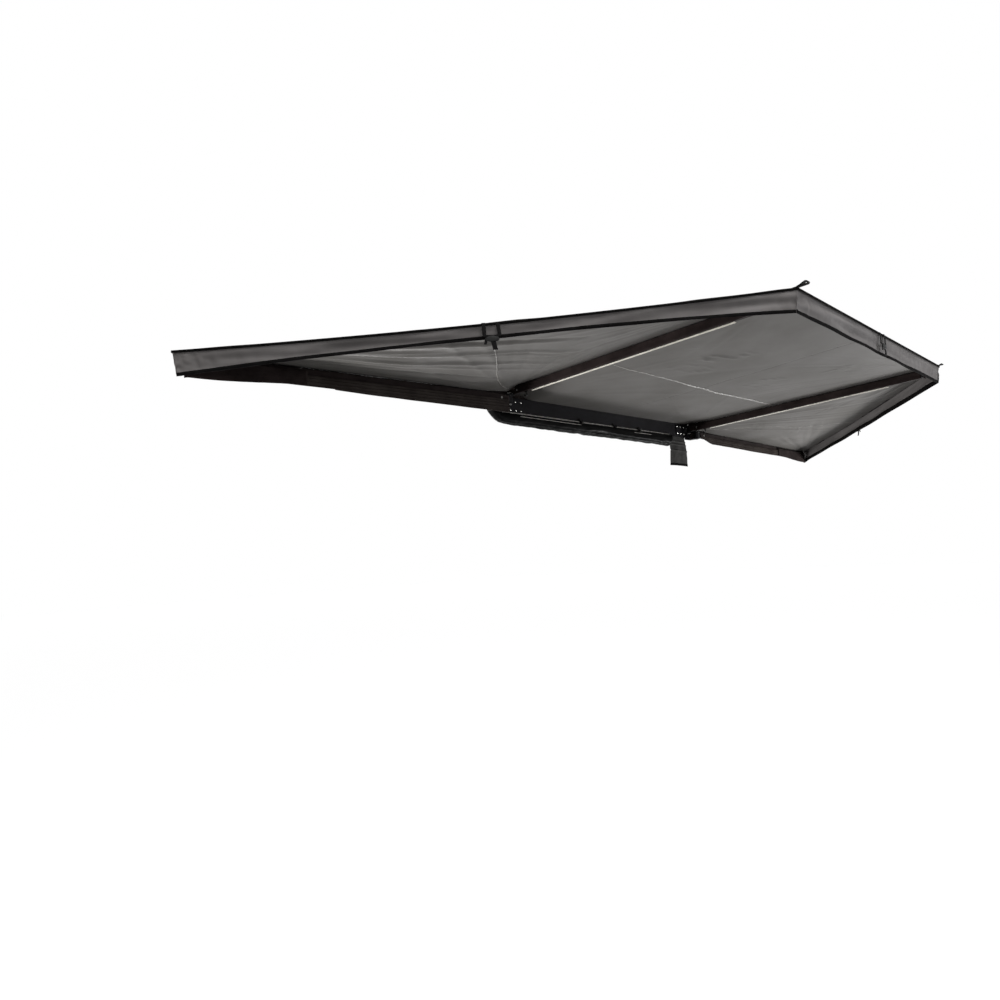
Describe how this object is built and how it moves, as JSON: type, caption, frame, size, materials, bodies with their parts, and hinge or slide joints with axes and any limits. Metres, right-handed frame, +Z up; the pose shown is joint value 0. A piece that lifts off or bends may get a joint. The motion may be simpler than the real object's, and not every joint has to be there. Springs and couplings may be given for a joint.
{
  "type": "vehicle side awning",
  "caption": "Free-standing side awning that opens through 180 degrees: a backboard with hinge brackets, folding arms, cloth panels with valances, and a bag under the board.",
  "frame": {"origin": "middle of the backboard's back face, halfway between the bolt channels", "axes": "+Z up; +Y out of the backboard's back, towards the roof rack; +X along the board to the vehicle's rear; the awning opens towards -Y"},
  "size_m": [5.2182, 1.6427, 0.4039],
  "materials": {
    "frame_black": "fine black powder coat on aluminium and steel",
    "arm_alloy": "black anodised aluminium tube",
    "bright_steel": "bright zinc plated steel",
    "black_nylon": "moulded black nylon",
    "canopy_cloth": "grey coated ripstop polyester",
    "valance_cloth": "grey ripstop with black bindings",
    "sleeve_cloth": "near black woven polyester",
    "bag_vinyl": "black PVC coated cloth",
    "webbing": "black polyester webbing",
    "diffuser": "cream silicone light diffuser",
    "zip_teeth": "grey moulded zip"
  },
  "bodies": {
    "root": {"backboard": "frame_black", "front_board_cap": "black_nylon", "rear_board_cap": "black_nylon", "front_hinge_bracket": "frame_black", "rear_hinge_bracket": "frame_black", "front_side_hinge_pin": "bright_steel", "front_outer_hinge_pin": "bright_steel", "rear_outer_hinge_pin": "bright_steel", "rear_side_hinge_pin": "bright_steel", "middle_canopy_panel": "canopy_cloth", "outer_valance": "valance_cloth", "outer_webbing_yoke": "webbing", "storage_bag": "bag_vinyl", "bag_zip": "zip_teeth", "bag_zip_slider": "bright_steel", "bag_toggle_1": "black_nylon", "bag_toggle_2": "black_nylon", "bag_toggle_3": "black_nylon", "bag_end_flap": "canopy_cloth"},
    "front_side_arm": {"front_side_arm_knuckle": "arm_alloy", "front_side_hinge_bush": "black_nylon", "front_side_arm_tube": "arm_alloy", "front_side_arm_bolt": "bright_steel", "front_side_arm_tip_plug": "black_nylon", "front_side_arm_sleeve": "sleeve_cloth", "front_side_corner_pocket": "sleeve_cloth"},
    "front_outer_arm": {"front_outer_arm_knuckle": "arm_alloy", "front_outer_hinge_bush": "black_nylon", "front_outer_arm_tube": "arm_alloy", "front_outer_arm_bolt": "bright_steel", "front_outer_arm_tip_plug": "black_nylon", "front_outer_arm_sleeve": "sleeve_cloth", "front_outer_corner_pocket": "sleeve_cloth", "front_light_strip": "diffuser", "front_arm_hook": "black_nylon", "front_corner_loop": "webbing", "front_canopy_panel": "canopy_cloth", "front_valance": "valance_cloth", "front_webbing_yoke": "webbing"},
    "rear_outer_arm": {"rear_outer_arm_knuckle": "arm_alloy", "rear_outer_hinge_bush": "black_nylon", "rear_outer_arm_tube": "arm_alloy", "rear_outer_arm_bolt": "bright_steel", "rear_outer_arm_tip_plug": "black_nylon", "rear_outer_arm_sleeve": "sleeve_cloth", "rear_outer_corner_pocket": "sleeve_cloth", "rear_light_strip": "diffuser", "rear_arm_hook": "black_nylon", "rear_corner_loop": "webbing", "rear_canopy_panel": "canopy_cloth", "rear_valance": "valance_cloth", "rear_webbing_yoke": "webbing"},
    "rear_side_arm": {"rear_side_arm_knuckle": "arm_alloy", "rear_side_hinge_bush": "black_nylon", "rear_side_arm_tube": "arm_alloy", "rear_side_arm_bolt": "bright_steel", "rear_side_arm_tip_plug": "black_nylon", "rear_side_arm_sleeve": "sleeve_cloth", "rear_side_corner_pocket": "sleeve_cloth"}
  },
  "joints": [
    {"name": "front_side_fold", "type": "hinge", "parent": "root", "child": "front_side_arm", "pos_m": [-0.905, -0.087, 0.016], "axis": [-0.0121, 0, 0.9999], "range_deg": [0, 180]},
    {"name": "front_outer_fold", "type": "hinge", "parent": "root", "child": "front_outer_arm", "pos_m": [-0.87, -0.046, 0.058], "axis": [0, 0.0454, 0.999], "range_deg": [0, 90], "deforming": ["front_canopy_panel", "front_valance", "front_webbing_yoke", "front_corner_loop", "middle_canopy_panel", "outer_valance", "outer_webbing_yoke"]},
    {"name": "rear_side_fold", "type": "hinge", "parent": "root", "child": "rear_side_arm", "pos_m": [0.905, -0.087, -0.034], "axis": [-0.0121, 0, -0.9999], "range_deg": [0, 180]},
    {"name": "rear_outer_fold", "type": "hinge", "parent": "root", "child": "rear_outer_arm", "pos_m": [0.87, -0.046, 0.008], "axis": [0, -0.0454, -0.999], "range_deg": [0, 90], "deforming": ["rear_canopy_panel", "rear_valance", "rear_webbing_yoke", "rear_corner_loop", "middle_canopy_panel", "outer_valance", "outer_webbing_yoke"]}
  ],
  "couplings": [
    {"joint": "front_outer_fold", "follows": "front_side_fold", "ratio": 0.5},
    {"joint": "rear_outer_fold", "follows": "rear_side_fold", "ratio": 0.5}
  ]
}
